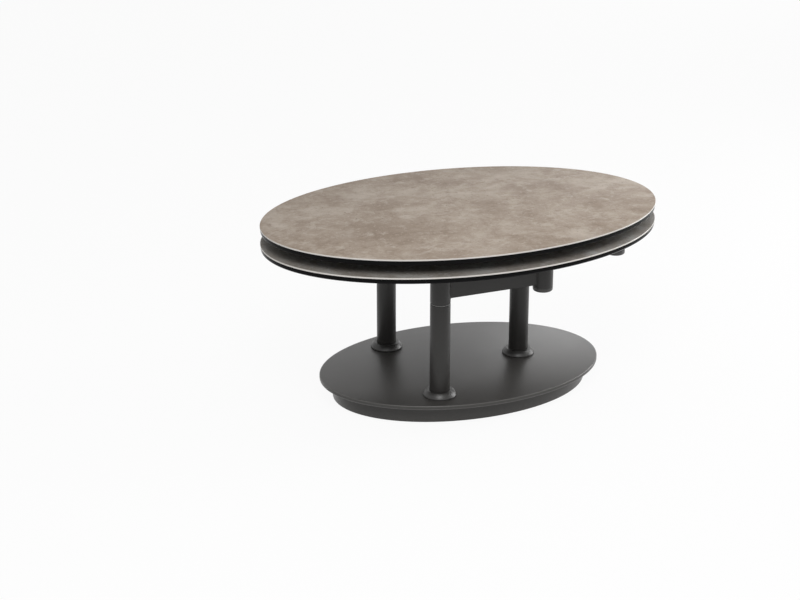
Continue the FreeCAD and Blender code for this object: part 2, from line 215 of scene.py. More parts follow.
class StageSettings(bpy.types.PropertyGroup):
    """Camera, floor and lamps."""
    azimuth: bpy.props.FloatProperty(
        name="Azimuth", description="Camera's way round the table",
        default=math.radians(-23.0), subtype="ANGLE")
    elevation: bpy.props.FloatProperty(
        name="Elevation", description="Camera's height above the horizon", default=math.radians(20.8),
        subtype="ANGLE")
    distance: bpy.props.FloatProperty(
        name="Distance", description="From the camera to its aim", default=4.452, unit="LENGTH")
    aim_right: bpy.props.FloatProperty(
        name="Aim right", description="Aim, to the camera's right of the origin",
        default=-0.1486, unit="LENGTH")
    aim_height: bpy.props.FloatProperty(
        name="Aim height", description="Aim, above the floor", default=0.2215, unit="LENGTH")
    lens: bpy.props.FloatProperty(
        name="Lens", description="Focal length in millimetres on a 36 mm frame", default=81.7)
    floor_colour: bpy.props.FloatVectorProperty(
        name="Floor", description="Colour of the floor", default=(0.82, 0.82, 0.82), subtype="COLOR")
    floor_glow: bpy.props.FloatProperty(
        name="Floor glow", description="Share of plain white that the camera sees in the floor",
        default=0.93)
    world_light: bpy.props.FloatProperty(
        name="Room light", description="Strength of the light from all round", default=0.36)
    back_power: bpy.props.FloatProperty(
        name="Back", description="Power of the lamp behind, on the right", default=34.0)
    side_power: bpy.props.FloatProperty(
        name="Side", description="Power of the low lamp on the right", default=42.0)
    right_power: bpy.props.FloatProperty(
        name="Right", description="Power of the lamp on the right", default=15.0)
    top_power: bpy.props.FloatProperty(
        name="Top", description="Power of the lamp overhead", default=8.0)
    front_power: bpy.props.FloatProperty(
        name="Front", description="Power of the high lamp in front", default=51.0)


def tops():
    """Settings of the tops."""
    return bpy.context.scene.table_tops


def steel():
    """Settings of the steelwork."""
    return bpy.context.scene.table_steel


# Modelling helpers

def deselect_all():
    """Leave edit mode and select nothing."""
    if bpy.context.mode != "OBJECT":
        bpy.ops.object.mode_set(mode="OBJECT")
    bpy.ops.object.select_all(action="DESELECT")


def pick(piece):
    """Make one piece the only selected and active one."""
    deselect_all()
    piece.select_set(True)
    bpy.context.view_layer.objects.active = piece


def named(name):
    """Name the primitive just added, and put its place into its mesh."""
    piece = bpy.context.active_object
    piece.name = name
    piece.data.name = name
    bpy.ops.object.transform_apply(location=True, rotation=True, scale=True)
    return piece


def apply_modifier(piece, modifier):
    """Apply one modifier to a piece."""
    pick(piece)
    bpy.ops.object.modifier_apply(modifier=modifier.name)


def soften(piece, width, segments=3, angle=30.0):
    """Round the sharp edges of a piece."""
    modifier = piece.modifiers.new("edge_rounding", "BEVEL")
    modifier.width = width
    modifier.segments = segments
    modifier.limit_method = "ANGLE"
    modifier.angle_limit = math.radians(angle)
    apply_modifier(piece, modifier)


def cut_away(piece, tool):
    """Cut one piece by another, which is then deleted."""
    modifier = piece.modifiers.new("cut", "BOOLEAN")
    modifier.operation = "DIFFERENCE"
    modifier.solver = "EXACT"
    modifier.object = tool
    apply_modifier(piece, modifier)
    bpy.data.objects.remove(tool)


def close_shell():
    """In edit mode, merge doubles and turn every face outwards."""
    bpy.ops.mesh.select_all(action="SELECT")
    bpy.ops.mesh.remove_doubles(threshold=MERGE_REACH)
    bpy.ops.mesh.normals_make_consistent(inside=False)
    bpy.ops.object.mode_set(mode="OBJECT")


def select_parts(piece, kind, test):
    """Go into edit mode with those corners, edges or faces selected that pass a test."""
    pick(piece)
    bpy.ops.object.mode_set(mode="EDIT")
    bpy.ops.mesh.select_mode(type=kind)
    bpy.ops.mesh.select_all(action="DESELECT")
    bpy.ops.object.mode_set(mode="OBJECT")
    mesh = piece.data
    parts = {"VERT": mesh.vertices, "EDGE": mesh.edges, "FACE": mesh.polygons}[kind]
    for part in parts:
        part.select = test(part)
    bpy.ops.object.mode_set(mode="EDIT")


def turned(name, profile, centre, steps=ROUND_STEPS):
    """Turn a round piece: a ring of edges is extruded from each profile corner to the next.

    The profile is a list of (radius, height). It is a closed wall if it ends where it starts, and is
    otherwise capped at both ends."""
    deselect_all()
    radius, height = profile[0]
    bpy.ops.mesh.primitive_circle_add(vertices=steps, radius=radius, location=(centre.x, centre.y, height))
    piece = named(name)
    bpy.ops.object.mode_set(mode="EDIT")
    bpy.ops.mesh.select_mode(type="VERT")
    bpy.ops.mesh.select_all(action="SELECT")
    for next_radius, next_height in profile[1:]:
        bpy.ops.mesh.extrude_region_move(TRANSFORM_OT_translate={"value": (0, 0, next_height - height)})
        grow = next_radius / radius
        bpy.ops.transform.resize(value=(grow, grow, 1), center_override=(centre.x, centre.y, next_height))
        radius, height = next_radius, next_height
    if profile[0] != profile[-1]:
        bpy.ops.mesh.select_all(action="SELECT")
        bpy.ops.mesh.fill_holes(sides=0)
    close_shell()
    return piece


def wall(inner, outer, low, high):
    """The profile of a plain ring."""
    return [(inner, low), (outer, low), (outer, high), (inner, high), (inner, low)]


def quarter(start, end, bulge_first, count=8):
    """Profile points on a quarter ellipse between two corners, which starts upwards if bulge_first."""
    points = []
    for i in range(count + 1):
        turn = math.pi / 2 * i / count
        across, along = math.sin(turn), 1 - math.cos(turn)
        if bulge_first:
            across, along = 1 - math.cos(turn), math.sin(turn)
        points.append((start[0] + (end[0] - start[0]) * across, start[1] + (end[1] - start[1]) * along))
    return points


def swell(start, end, rise, count=8):
    """Profile points from corner to corner, along a line that stands out by a rise at its middle."""
    along = Vector(end) - Vector(start)
    out = Vector((along.y, -along.x)).normalized()
    points = []
    for i in range(count + 1):
        share = i / count
        place = Vector(start) + along * share + out * (rise * 4 * share * (1 - share))
        points.append((place.x, place.y))
    return points


def oval(name, length, width, low, high):
    """An oval slab: a filled circle, stretched and extruded."""
    deselect_all()
    bpy.ops.mesh.primitive_circle_add(
        vertices=OVAL_STEPS, radius=0.5, fill_type="NGON", location=(0, 0, low))
    piece = named(name)
    bpy.ops.object.mode_set(mode="EDIT")
    bpy.ops.mesh.select_all(action="SELECT")
    bpy.ops.transform.resize(value=(length, width, 1), center_override=(0, 0, low))
    bpy.ops.mesh.extrude_region_move(TRANSFORM_OT_translate={"value": (0, 0, high - low)})
    close_shell()
    return piece


def repeat(piece, centres):
    """Copy a piece from the first centre to each of the others, and join the copies to it."""
    copies = []
    for centre in centres[1:]:
        copy = piece.copy()
        copy.data = piece.data.copy()
        copy.data.transform(Matrix.Translation(centre - centres[0]))
        bpy.context.scene.collection.objects.link(copy)
        copies.append(copy)
    pick(piece)
    for copy in copies:
        copy.select_set(True)
    bpy.ops.object.join()


def turned_set(name, profile, centres, steps=ROUND_STEPS):
    """Turn a round piece at the first centre and repeat it at the others, as one piece."""
    pieces = turned(name, profile, centres[0], steps)
    repeat(pieces, centres)
    return pieces


def hex_recess(piece, centre, width, depth, top):
    """Sink a hexagon socket into the top of a screw head."""
    deselect_all()
    bpy.ops.mesh.primitive_cylinder_add(
        vertices=HEX_STEPS, radius=width / 2, depth=2 * depth, location=(centre.x, centre.y, top))
    cut_away(piece, named("hexagon_tool"))


def bore(piece, centre, radius, low, high, steps=ROUND_STEPS):
    """Drill a round hole up through a piece."""
    deselect_all()
    bpy.ops.mesh.primitive_cylinder_add(
        vertices=steps, radius=radius, depth=high - low + 2 * CUT_OVERRUN,
        location=(centre.x, centre.y, (low + high) / 2))
    cut_away(piece, named("drill_tool"))


def finish(piece, body, slot, nodes, *finishes):
    """Smooth a piece, give it its finishes and attach it to the body it moves with."""
    pick(piece)
    bpy.ops.object.shade_smooth_by_angle(angle=SMOOTH_ANGLE)
    piece.data.materials.clear()
    for name in finishes:
        piece.data.materials.append(made(name))
    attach(piece, body)
    if nodes:
        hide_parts(*nodes)


def coat_nodes(finish_name, *names):
    """Give a better finish to pieces whose shape stays as it is."""
    for name in names:
        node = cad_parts[name]
        node.data.materials.clear()
        node.data.materials.append(made(finish_name))


def middle(node):
    """The centre of a piece's box in plan."""
    low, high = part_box(node)
    return Vector(((low.x + high.x) / 2, (low.y + high.y) / 2, 0))


def radius_of(node):
    """Half a round piece's width."""
    low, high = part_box(node)
    return (high.x - low.x) / 2


def heights(node):
    """The lowest and highest level of a piece."""
    low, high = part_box(node)
    return low.z, high.z


def post_centres():
    """The three post axes, in the order of the cranks."""
    return [middle("post_" + side) for side in CRANKS]


def riser_centres():
    """The three riser axes, in the order of the cranks."""
    return [middle("outer_hub_" + side) for side in CRANKS]


def neck_radius():
    """The outside of a bearing neck in the lower top."""
    return radius_of("riser_shaft_front") + NECK_WALL


# Materials

class Finish:
    """A node tree in the making: one Principled shader on Object coordinates."""

    def __init__(self, name):
        self.material = bpy.data.materials.new(name)
        self.material.use_nodes = True
        self.nodes = self.material.node_tree.nodes
        self.links = self.material.node_tree.links
        self.shader = self.nodes["Principled BSDF"]
        self.place = self.nodes.new("ShaderNodeTexCoord").outputs["Object"]

    def set(self, **values):
        """Set plain values on the shader's own sockets."""
        for name, value in values.items():
            title = name.replace("_", " ").title().replace("Ior", "IOR")
            self.shader.inputs[title].default_value = value
        return self

    def link(self, source, socket):
        """Join an output to one of the shader's inputs."""
        self.links.new(source, self.shader.inputs[socket])

    def stretched(self, scale, turn=0.0):
        """Object coordinates, stretched along the axes and turned about Z."""
        node = self.nodes.new("ShaderNodeMapping")
        node.inputs["Scale"].default_value = scale
        node.inputs["Rotation"].default_value = (0, 0, turn)
        self.links.new(self.place, node.inputs["Vector"])
        return node.outputs["Vector"]

    def noise(self, scale, detail=4.0, roughness=0.55, distortion=0.0, vector=None):
        """A noise pattern, with its scale in waves per metre."""
        node = self.nodes.new("ShaderNodeTexNoise")
        node.inputs["Scale"].default_value = scale
        node.inputs["Detail"].default_value = detail
        node.inputs["Roughness"].default_value = roughness
        node.inputs["Distortion"].default_value = distortion
        self.links.new(vector or self.place, node.inputs["Vector"])
        return node.outputs["Fac"]

    def cells(self, scale):
        """A cell pattern, as the distance to the nearest grain."""
        node = self.nodes.new("ShaderNodeTexVoronoi")
        node.inputs["Scale"].default_value = scale
        self.links.new(self.place, node.inputs["Vector"])
        return node.outputs["Distance"]

    def ramp(self, factor, *stops):
        """Colours, or grey values, spread over a pattern."""
        node = self.nodes.new("ShaderNodeValToRGB")
        band = node.color_ramp
        while len(band.elements) < len(stops):
            band.elements.new(1.0)
        for element, (place, colour) in zip(band.elements, stops):
            element.position = place
            grey = isinstance(colour, float)
            element.color = (colour, colour, colour, 1) if grey else (*colour, 1)
        self.links.new(factor, node.inputs["Fac"])
        return node.outputs["Color"]

    def blend(self, factor, first, second, mode="MIX"):
        """Mix two colours by a pattern or a fixed share."""
        node = self.nodes.new("ShaderNodeMix")
        node.data_type = "RGBA"
        node.blend_type = mode
        sockets = (node.inputs[0], node.inputs[6], node.inputs[7])
        for socket, value in zip(sockets, (factor, first, second)):
            if isinstance(value, bpy.types.NodeSocket):
                self.links.new(value, socket)
            elif isinstance(value, float):
                socket.default_value = value
            else:
                socket.default_value = (*value, 1)
        return node.outputs[2]

    def spread(self, factor, low, high):
        """A pattern spread over a range of values."""
        node = self.nodes.new("ShaderNodeMapRange")
        node.inputs["To Min"].default_value = low
        node.inputs["To Max"].default_value = high
        self.links.new(factor, node.inputs["Value"])
        return node.outputs["Result"]

    def relief(self, factor, distance, under=None):
        """Fine relief of a given depth, laid over another where one is given."""
        node = self.nodes.new("ShaderNodeBump")
        node.inputs["Distance"].default_value = distance
        node.inputs["Strength"].default_value = 1.0
        self.links.new(factor, node.inputs["Height"])
        if under:
            self.links.new(under, node.inputs["Normal"])
        self.links.new(node.outputs["Normal"], self.shader.inputs["Normal"])
        return node.outputs["Normal"]


def make_stone_face(name, tone=(1, 1, 1)):
    """Matt taupe ceramic, clouded brown and grey like weathered stone, with pale scuffs and dark pores; a
    tone other than white darkens and greys it as painted shade.
    """
    s = tops()
    f = Finish(name)
    drift = f.noise(3.4, 4.0, 0.55)
    clouds = f.noise(10.0, 14.0, 0.7, 0.2, f.stretched((0.95, 1.0, 1.0), 0.15))
    stains = f.noise(18.0, 13.0, 0.72, 0.3, f.stretched((1.0, 1.05, 1.0), -0.35))
    scuffs = f.noise(20.0, 13.0, 0.75, 0.25, f.stretched((0.95, 1.05, 1.0), -0.2))
    streaks = f.noise(36.0, 10.0, 0.74, 0.5, f.stretched((0.75, 1.2, 1.0), -0.15))
    flecks = f.noise(90.0, 6.0, 0.74, 0.2)
    pores = f.noise(200.0, 3.0, 0.6)
    grain = f.noise(620.0, 3.0, 0.6)
    ground = f.ramp(clouds, (0.33, s.stone_dark), (0.49, s.stone_middle), (0.66, s.stone_light))
    browned = f.blend(f.ramp(drift, (0.46, 0.0), (0.6, 0.5)), ground, s.stone_dark)
    stained = f.blend(f.ramp(stains, (0.36, 0.75), (0.46, 0.0)), browned, s.stone_dark)
    scuffed = f.blend(f.ramp(scuffs, (0.54, 0.0), (0.63, 0.7)), stained, s.stone_light)
    streaked = f.blend(f.ramp(streaks, (0.58, 0.0), (0.64, 0.5)), scuffed, s.stone_light)
    flecked = f.blend(f.ramp(flecks, (0.56, 0.0), (0.63, 0.55)), streaked, s.stone_light)
    pitted = f.blend(f.ramp(flecks, (0.32, 0.7), (0.4, 0.0)), flecked, s.stone_pore)
    pored = f.blend(f.ramp(pores, (0.3, 0.8), (0.38, 0.0)), pitted, s.stone_pore)
    grained = f.blend(0.35, pored, f.ramp(grain, (0.3, 0.4), (0.7, 0.6)), "OVERLAY")
    # Multiply by the tone: white for the upper stone, a greyer, darker painted shade for the lower one.
    f.link(f.blend(1.0, grained, tone, "MULTIPLY"), "Base Color")
    f.link(f.spread(clouds, 0.52, 0.68), "Roughness")
    under = f.relief(stains, 0.0002)
    f.relief(grain, 0.00004, under)
    return f.set(ior=1.45, specular_ior_level=0.14)


def make_cut_edge(name):
    """The pale ground rim of the ceramic."""
    s = tops()
    f = Finish(name)
    grain = f.noise(600.0, 4.0, 0.65)
    shade = f.noise(30.0, 3.0, 0.5)
    f.link(f.blend(f.ramp(shade, (0.45, 0.0), (0.75, 0.25)), s.edge_colour, s.stone_light), "Base Color")
    f.link(f.spread(grain, 0.42, 0.6), "Roughness")
    f.relief(grain, 0.00003)
    return f.set(ior=1.5)


def make_black_glass(name):
    """Gloss black glass with the faintest smears."""
    s = tops()
    f = Finish(name)
    smear = f.noise(18.0, 5.0, 0.6, 1.2)
    smear_colour = (0.004, 0.004, 0.0043)
    f.link(f.blend(f.ramp(smear, (0.45, 0.0), (0.75, 1.0)), s.glass_colour, smear_colour), "Base Color")
    f.link(f.spread(smear, 0.03, 0.1), "Roughness")
    f.relief(f.noise(9.0, 2.0), 0.00002)
    return f.set(ior=1.52, specular_ior_level=0.06)


def make_powder_coat(name, colour=None, ior=1.4, smooth=0.34, rough=0.44):
    """Satin anthracite powder coat with its fine orange-peel skin."""
    s = steel()
    f = Finish(name)
    peel = f.noise(750.0, 2.0, 0.5)
    fleck = f.noise(2200.0, 2.0, 0.6)
    cloud = f.noise(9.0, 4.0, 0.55)
    flecked = f.blend(f.ramp(fleck, (0.35, 0.8), (0.6, 0.0)), colour or s.coat_colour, s.coat_dark)
    f.link(flecked, "Base Color")
    f.link(f.spread(cloud, smooth, rough), "Roughness")
    under = f.relief(peel, 0.00005)
    f.relief(fleck, 0.000015, under)
    return f.set(ior=ior)


def make_cap_sheen_coat(name):
    """The finer coat of the hub caps, painted paler than the posts' coat as a painted sheen for their
    rounded lower edges.
    """
    s = steel()
    f = Finish(name)
    skin = f.noise(1100.0, 2.0, 0.5)
    cloud = f.noise(24.0, 3.0, 0.5)
    f.link(f.blend(f.ramp(skin, (0.35, 0.5), (0.65, 0.0)), s.cap_sheen_colour, s.coat_colour), "Base Color")
    f.link(f.spread(cloud, 0.3, 0.4), "Roughness")
    f.relief(skin, 0.00003)
    return f.set(ior=1.5)


def make_zinc(name):
    """Bright zinc plate with drawn marks and dull spangle."""
    f = Finish(name)
    spangle = f.cells(260.0)
    drawn = f.noise(40.0, 4.0, 0.6, 0.0, f.stretched((1.0, 1.0, 30.0)))
    f.link(f.ramp(spangle, (0.0, (0.42, 0.43, 0.44)), (0.8, (0.6, 0.6, 0.59))), "Base Color")
    f.link(f.spread(drawn, 0.24, 0.42), "Roughness")
    f.relief(drawn, 0.00002)
    return f.set(metallic=1.0)


def make_bronze(name):
    """Porous sintered bronze."""
    f = Finish(name)
    pores = f.cells(1800.0)
    tone = f.noise(60.0, 4.0)
    warm = f.ramp(tone, (0.3, (0.36, 0.2, 0.085)), (0.7, (0.52, 0.32, 0.14)))
    f.link(f.blend(f.ramp(pores, (0.1, 0.7), (0.35, 0.0)), warm, (0.12, 0.07, 0.035)), "Base Color")
    f.link(f.spread(tone, 0.34, 0.5), "Roughness")
    f.relief(pores, 0.00004)
    return f.set(metallic=1.0)


def make_acetal(name):
    """Grey slide plastic with a faintly waxy skin."""
    f = Finish(name)
    skin = f.noise(900.0, 3.0)
    f.link(f.ramp(skin, (0.3, (0.17, 0.168, 0.165)), (0.7, (0.25, 0.248, 0.243))), "Base Color")
    f.link(f.spread(skin, 0.38, 0.52), "Roughness")
    f.relief(skin, 0.00002)
    return f.set(ior=1.48)


def make_fibreboard(name):
    """Black-dyed fibreboard with short pale fibres."""
    f = Finish(name)
    fibre = f.noise(160.0, 6.0, 0.7, 1.5, f.stretched((1.0, 3.0, 3.0), 0.4))
    cloud = f.noise(14.0, 4.0)
    ground = f.ramp(cloud, (0.35, (0.026, 0.024, 0.022)), (0.7, (0.043, 0.04, 0.037)))
    f.link(f.blend(f.ramp(fibre, (0.58, 0.0), (0.72, 0.5)), ground, (0.1, 0.09, 0.08)), "Base Color")
    f.link(f.spread(fibre, 0.72, 0.9), "Roughness")
    f.relief(fibre, 0.00015)
    return f.set(ior=1.45)


def make_glide_rubber(name):
    """Dull black rubber, a little dusty."""
    f = Finish(name)
    dust = f.noise(70.0, 5.0, 0.65)
    grain = f.noise(1500.0, 2.0)
    f.link(f.ramp(dust, (0.35, (0.014, 0.014, 0.014)), (0.75, (0.05, 0.048, 0.045))), "Base Color")
    f.link(f.spread(dust, 0.6, 0.85), "Roughness")
    f.relief(grain, 0.00004)
    return f.set(ior=1.52)


def background_seen(nodes, links):
    """1 where the camera sees the background, straight, in a gloss or through glass, and 0 elsewhere."""
    path = nodes.new("ShaderNodeLightPath")
    seen = path.outputs["Is Camera Ray"]
    for way in ("Is Glossy Ray", "Is Transmission Ray"):
        either = nodes.new("ShaderNodeMath")
        either.operation = "MAXIMUM"
        links.new(seen, either.inputs[0])
        links.new(path.outputs[way], either.inputs[1])
        seen = either.outputs[0]
    return seen


FINISHES = {
    "stone_face": make_stone_face,
    # The lower stone: the same stone with painted shade, greyer and darker.
    "lower_stone_face": lambda name: make_stone_face(name, tops().lower_shade_tone),
    "cut_edge": make_cut_edge,
    "gloss_black_glass": make_black_glass,
    "powder_coat": make_powder_coat,
    "base_coat": lambda name: make_powder_coat(name, steel().base_colour, 1.41, 0.31, 0.39),
    # Painted highlight: the base coat made paler for the plate's rounded edges.
    "rubbed_coat": lambda name: make_powder_coat(name, steel().arris_highlight_colour, 1.45, 0.3, 0.38),
    "collar_coat": lambda name: make_powder_coat(name, None, 1.5, 0.35, 0.41),
    # Painted sheen: the paler coat of the hub caps.
    "cap_coat": make_cap_sheen_coat,
    "zinc_plate": make_zinc,
    "sintered_bronze": make_bronze,
    "slide_acetal": make_acetal,
    "dyed_fibreboard": make_fibreboard,
    "glide_rubber": make_glide_rubber,
}


def made(name):
    """A finish, made once and then shared."""
    return bpy.data.materials.get(name) or FINISHES[name](name).material


# Pieces, one operator for each group

class TABLE_OT_stone_faces(bpy.types.Operator):
    """Model the two ceramic faces, with pale rims, and the holes of the lower one"""
    bl_idname = "table.stone_faces"
    bl_label = "Stone faces"

    def execute(self, context):
        # The lower face takes the stone with painted shade.
        levels = (("upper", "frame", "stone_face"), ("lower", "lower_top", "lower_stone_face"))
        for level, body, face in levels:
            node = level + "_ceramic"
            low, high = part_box(node)
            size = high - low
            slab = oval(level + "_stone_face", size.x, size.y, low.z, high.z)
            soften(slab, tops().arris, 2, 60)
            if level == "lower":
                drill_for_necks(slab, low.z, high.z)
            finish(slab, body, "ceramic_face", [node], face, "cut_edge")
            mark_rim(slab, low.z, high.z)
        return {"FINISHED"}


def drill_for_necks(slab, low, high):
    """Drill a slab of the lower top for its three bearing necks."""
    for centre in riser_centres():
        bore(slab, centre, neck_radius() + tops().hole_room, low, high)


def mark_rim(slab, low, high):
    """Give the rim of a stone face the material of its cut edge."""
    for face in slab.data.polygons:
        upright = abs(face.normal.z) < 0.9
        face.material_index = int(upright or face.center.z < high - (high - low) / 2)


class TABLE_OT_glass_backs(bpy.types.Operator):
    """Model the black glass under each stone face, bevelled along its lower rim"""
    bl_idname = "table.glass_backs"
    bl_label = "Black glass"

    def execute(self, context):
        for level, body in (("upper", "frame"), ("lower", "lower_top")):
            node = level + "_glass"
            low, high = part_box(node)
            size = high - low
            bevel = tops().glass_bevel
            bevel_top = low.z + bevel
            slab = oval(level + "_black_glass", size.x - 2 * bevel, size.y - 2 * bevel, low.z, bevel_top)
            widen_upwards(slab, bevel_top, size, high.z)
            soften(slab, steel().fine_edge, 3, 25)
            if level == "lower":
                drill_for_necks(slab, low.z, high.z)
            finish(slab, body, "black_glass", [node], "gloss_black_glass")
        return {"FINISHED"}


def widen_upwards(slab, level, size, high):
    """Spread the upper face of a slab to a full size, then extrude it to a full height."""
    narrow = slab.dimensions
    grow = (size.x / narrow.x, size.y / narrow.y, 1)
    select_parts(slab, "FACE", lambda face: face.normal.z > 0.9)
    bpy.ops.transform.resize(value=grow, center_override=(0, 0, level))
    bpy.ops.mesh.extrude_region_move(TRANSFORM_OT_translate={"value": (0, 0, high - level)})
    close_shell()


class TABLE_OT_base(bpy.types.Operator):
    """Model the base plate, the plinth band and the glides, and finish the core"""
    bl_idname = "table.base"
    bl_label = "Base"

    def execute(self, context):
        s = steel()
        low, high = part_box("base_plate")
        plate = oval("base_plate_steel", high.x - low.x, high.y - low.y, low.z, high.z)
        soften(plate, s.plate_edge, 3, 60)
        finish(plate, "frame", "coated_steel", ["base_plate"], "base_coat", "rubbed_coat")
        # The rounded edges of the plate take the paler coat, as painted highlight lines.
        for face in plate.data.polygons:
            rounded = 0.1 < abs(face.normal.z) < 0.99
            face.material_index = int(rounded)

        low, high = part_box("plinth_band")
        band = oval("plinth_skirt", high.x - low.x, high.y - low.y, low.z, high.z)
        inside = oval("core_tool", high.x - low.x - 2 * s.band_wall, high.y - low.y - 2 * s.band_wall,
                      low.z - CUT_OVERRUN, high.z + CUT_OVERRUN)
        cut_away(band, inside)
        soften(band, s.fine_edge, 2, 60)
        finish(band, "frame", "coated_steel", ["plinth_band"], "base_coat")
        coat_nodes("dyed_fibreboard", "plinth_core")
        self.glides()
        return {"FINISHED"}

    def glides(self):
        """Round pads under the plinth, each with a domed foot."""
        low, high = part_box("floor_glides")
        pad = self.pad_radius()
        ring = [Vector(((high.x - pad) * math.cos(turn), (high.y - pad) * math.sin(turn), 0))
                for turn in (math.pi / 4 * i for i in range(8))]
        profile = [(pad * GLIDE_FOOT, low.z), (pad * GLIDE_SHOULDER, low.z + GLIDE_SHOULDER_RISE),
                   (pad, low.z + GLIDE_SIDE_RISE), (pad, high.z)]
        pads = turned_set("glide_pads", profile, ring, SMALL_STEPS)
        finish(pads, "frame", "felt_rubber", ["floor_glides"], "glide_rubber")

    def pad_radius(self):
        """The radius of one glide, from those of its corners that lie furthest along X."""
        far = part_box("floor_glides")[1].x - GLIDE_REACH
        return max(v.co.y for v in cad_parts["floor_glides"].data.vertices if v.co.x > far)


class TABLE_OT_posts(bpy.types.Operator):
    """Model the post tubes and the rosette collars at their feet"""
    bl_idname = "table.posts"
    bl_label = "Posts"

    def execute(self, context):
        s = steel()
        for side, centre in zip(CRANKS, post_centres()):
            node = "post_" + side
            low, high = heights(node)
            outer = radius_of(node)
            post = turned("post_tube_" + side, wall(outer - s.tube_wall, outer, low, high), centre)
            soften(post, s.seam_edge)
            finish(post, "frame", "coated_steel", [node], "powder_coat")
        self.collars()
        return {"FINISHED"}

    def collars(self):
        """Low rosettes: a gently swelling slope from a short upright edge to a flat top round the post."""
        s = steel()
        centres = post_centres()
        low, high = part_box("post_collars")
        outer = high.x - centres[1].x
        inner = radius_of("post_front")
        profile = [(inner, low.z), (outer - COLLAR_FOOT, low.z), (outer, low.z + COLLAR_FOOT)]
        profile += swell((outer, low.z + s.collar_edge), (s.collar_top, high.z), s.collar_swell)
        profile += [(inner + COLLAR_BORE_EDGE, high.z), (inner, high.z - COLLAR_BORE_EDGE), (inner, low.z)]
        rosettes = turned_set("post_rosettes", profile, centres)
        finish(rosettes, "frame", "coated_steel", ["post_collars"], "collar_coat")


class TABLE_OT_cranks(bpy.types.Operator):
    """Model each crank's hub sleeve, swing arm with its welds, outer hub and cap"""
    bl_idname = "table.cranks"
    bl_label = "Cranks"

    def execute(self, context):
        for side in CRANKS:
            self.hubs(side)
            self.arm(side)
        return {"FINISHED"}

    def hubs(self, side):
        """The sleeve on the post, and the outer hub with its rounded cap."""
        s = steel()
        body = "crank_" + side
        sleeve_node = "hub_sleeve_" + side
        hub_node = "outer_hub_" + side
        cap_node = "hub_cap_" + side
        outer = radius_of(sleeve_node)
        low, high = heights(sleeve_node)
        bush = radius_of("hub_bushes_" + side)
        sleeve = turned("hub_tube_" + side, wall(bush, outer, low, high), middle(sleeve_node))
        soften(sleeve, s.seam_edge)
        finish(sleeve, body, "coated_steel", [sleeve_node], "powder_coat")

        low, high = heights(hub_node)
        hub = turned("outer_hub_tube_" + side, wall(radius_of("riser_shaft_" + side), outer, low, high),
                     middle(hub_node))
        soften(hub, s.fine_edge)
        finish(hub, body, "coated_steel", [hub_node], "powder_coat")

        low, high = heights(cap_node)
        profile = quarter((outer - s.cap_rounding, low), (outer, low + s.cap_rounding), False)
        profile += [(outer, high - 1.5 * s.cap_line), (outer - s.cap_line / 2, high - s.cap_line),
                    (outer - s.cap_line, high - s.cap_line), (outer - s.cap_line, high)]
        cap = turned("outer_cap_" + side, profile, middle(cap_node))
        # The cap takes the paler coat, as painted sheen.
        finish(cap, body, "coated_steel", [cap_node], "cap_coat")

    def arm(self, side):
        """A rectangular tube with rounded corners, coped to both hubs and welded round."""
        s = steel()
        node = "swing_arm_" + side
        body = "crank_" + side
        near, far = middle("hub_sleeve_" + side), middle("outer_hub_" + side)
        hub = radius_of("hub_sleeve_" + side)
        bottom, top = heights(node)
        low = Vector((near.x, near.y - s.arm_width / 2, bottom - s.arm_drop))
        high = Vector((far.x, near.y + s.arm_width / 2, top))
        deselect_all()
        bpy.ops.mesh.primitive_cube_add(size=1, location=(low + high) / 2)
        bpy.ops.transform.resize(value=high - low)
        arm = named("arm_tube_" + side)
        round_long_edges(arm, s.arm_corner)
        for centre in (near, far):
            bore(arm, centre, hub, low.z, high.z)
        finish(arm, body, "coated_steel", [node], "powder_coat")
        for end, centre, way in (("inner", near, 1), ("outer", far, -1)):
            bead = weld_bead("arm_weld_%s_%s" % (end, side), centre, hub, way, low, high)
            finish(bead, body, "coated_steel", [], "powder_coat")


def round_long_edges(piece, radius):
    """Round the edges of a bar that run along X."""
    def runs_along_x(edge):
        start, end = (piece.data.vertices[i].co for i in edge.vertices)
        way = end - start
        return abs(way.x) > max(abs(way.y), abs(way.z))

    select_parts(piece, "EDGE", runs_along_x)
    bpy.ops.mesh.bevel(offset=radius, segments=5, affect="EDGES")
    close_shell()


def weld_bead(name, centre, hub, way, low, high):
    """A slim bead where an arm's outline meets a round hub, as a closed curve with a round section."""
    s = steel()
    half_width, half_height = (high.y - low.y) / 2, (high.z - low.z) / 2
    level = (low.z + high.z) / 2
    outline = rounded_outline(half_width, half_height, s.arm_corner)
    curve = bpy.data.curves.new(name, "CURVE")
    curve.dimensions = "3D"
    curve.bevel_depth = s.bead_radius
    curve.bevel_resolution = 3
    spline = curve.splines.new("POLY")
    spline.points.add(len(outline) - 1)
    spline.use_cyclic_u = True
    for point, (across, up) in zip(spline.points, outline):
        along = math.sqrt(hub * hub - across * across)
        point.co = (centre.x + way * along, centre.y + across, level + up, 1)
    bead = bpy.data.objects.new(name, curve)
    bpy.context.scene.collection.objects.link(bead)
    pick(bead)
    bpy.ops.object.convert(target="MESH")
    return bpy.context.active_object


def rounded_outline(half_width, half_height, corner, side_steps=14, corner_steps=5):
    """Points round a rectangle with rounded corners, spaced closely along its sides."""
    points = []
    corners = ((1, 1, 0.0), (-1, 1, 0.25), (-1, -1, 0.5), (1, -1, 0.75))
    for i, (sx, sy, turn) in enumerate(corners):
        for k in range(corner_steps + 1):
            angle = 2 * math.pi * turn + math.pi / 2 * k / corner_steps
            points.append((sx * (half_width - corner) + corner * math.cos(angle),
                           sy * (half_height - corner) + corner * math.sin(angle)))
        last = points[-1]
        nx, ny, next_turn = corners[(i + 1) % 4]
        angle = 2 * math.pi * next_turn
        goal = (nx * (half_width - corner) + corner * math.cos(angle),
                ny * (half_height - corner) + corner * math.sin(angle))
        for k in range(1, side_steps):
            share = k / side_steps
            points.append((last[0] + (goal[0] - last[0]) * share, last[1] + (goal[1] - last[1]) * share))
    return points


